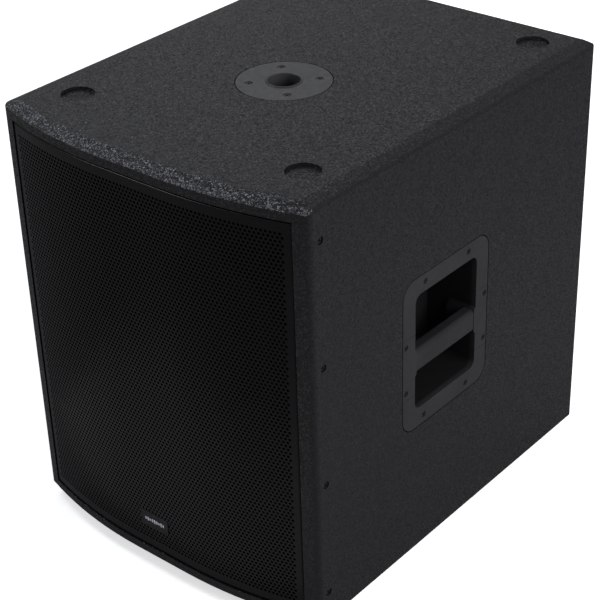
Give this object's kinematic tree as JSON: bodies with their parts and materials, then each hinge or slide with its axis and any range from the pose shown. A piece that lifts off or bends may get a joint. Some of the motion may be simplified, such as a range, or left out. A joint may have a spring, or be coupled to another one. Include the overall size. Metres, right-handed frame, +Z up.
{
  "type": "subwoofer cabinet",
  "caption": "Bass-reflex subwoofer cabinet with bowed perforated grille, pole socket, stacking recesses, side grip-bar handles and a sprung long-throw driver",
  "frame": {"origin": "centre of the cabinet's footprint on the floor, under the middle of its overall width and depth, where the rubber feet stand", "axes": "+Z up, -Y out through the grille at the front, +X to the right of a person who stands in front and looks at the grille, so the nodes named left are at -X and those named right are at +X"},
  "size_m": [0.43, 0.541, 0.5312],
  "materials": {
    "textured_paint": "hard black texture paint over birch plywood, fine grain, satin",
    "black_stain": "plywood stained black, flat",
    "bare_ply": "bare birch plywood",
    "socket_plate": "smooth dark grey satin plastic",
    "screw_black": "black zinc plated steel",
    "foot_rubber": "black rubber, matte",
    "zinc_steel": "zinc plated steel",
    "handle_plastic": "black moulded plastic, fine satin grain",
    "grip": "black moulded plastic, satin",
    "grille_metal": "black powder coated perforated steel, satin",
    "badge_face": "dark anodised plate with a light printed motif",
    "basket_paint": "black powder coat",
    "gasket_foam": "black foam tape",
    "ferrite": "dark grey ferrite, matte",
    "roll_cloth": "coated black cloth",
    "spider_cloth": "resin treated cotton cloth",
    "cone_paper": "black pressed paper, matte",
    "former_film": "amber glass fibre former",
    "copper": "enamelled copper wire",
    "terminal_red": "red moulded terminal",
    "dish_plastic": "black moulded plastic",
    "socket_blue": "blue moulded plastic",
    "board_green": "green circuit board",
    "capacitor_blue": "dark blue film capacitor",
    "ceramic_white": "white ceramic power resistor",
    "wire_red": "insulated copper wire",
    "lining_felt": "grey polyester wadding"
  },
  "bodies": {
    "cabinet": {"top_panel": "textured_paint", "bottom_panel": "textured_paint", "left_side_panel": "textured_paint", "right_side_panel": "textured_paint", "rear_panel": "textured_paint", "front_baffle": "black_stain", "port_shelf": "black_stain", "port_divider": "black_stain", "brace": "bare_ply", "pole_socket": "socket_plate", "pole_socket_screws": "screw_black", "front_left_foot": "foot_rubber", "front_right_foot": "foot_rubber", "rear_left_foot": "foot_rubber", "rear_right_foot": "foot_rubber", "foot_screws": "zinc_steel", "left_handle_cup": "handle_plastic", "right_handle_cup": "handle_plastic", "left_handle_bar": "grip", "right_handle_bar": "grip", "left_front_bracket": "handle_plastic", "left_rear_bracket": "handle_plastic", "right_front_bracket": "handle_plastic", "right_rear_bracket": "handle_plastic", "left_handle_screws": "screw_black", "right_handle_screws": "screw_black", "grille": "grille_metal", "grille_nuts": "zinc_steel", "left_grille_screws": "screw_black", "right_grille_screws": "screw_black", "badge": "badge_face", "driver_basket": "basket_paint", "driver_gasket": "gasket_foam", "driver_screws": "screw_black", "driver_tee_nuts": "zinc_steel", "top_plate": "zinc_steel", "magnet": "ferrite", "back_plate": "zinc_steel", "surround": "roll_cloth", "spider": "spider_cloth", "driver_terminals": "terminal_red", "tinsel_leads": "copper", "terminal_dish": "dish_plastic", "input_socket": "socket_blue", "link_socket": "socket_blue", "terminal_screws": "screw_black", "crossover_board": "board_green", "crossover_coil": "copper", "crossover_capacitor": "capacitor_blue", "crossover_resistor": "ceramic_white", "internal_wires": "wire_red", "left_lining": "lining_felt", "right_lining": "lining_felt", "rear_lining": "lining_felt"},
    "cone_assembly": {"cone": "cone_paper", "dust_cap": "cone_paper", "coil_former": "former_film", "voice_coil": "copper"}
  },
  "joints": [
    {"name": "cone_travel", "type": "slide", "parent": "cabinet", "child": "cone_assembly", "axis": [0, -1, 0], "range_m": [-0.008, 0.008], "stiffness_N_per_m": 5000, "deforming": ["surround", "spider", "tinsel_leads"]}
  ]
}
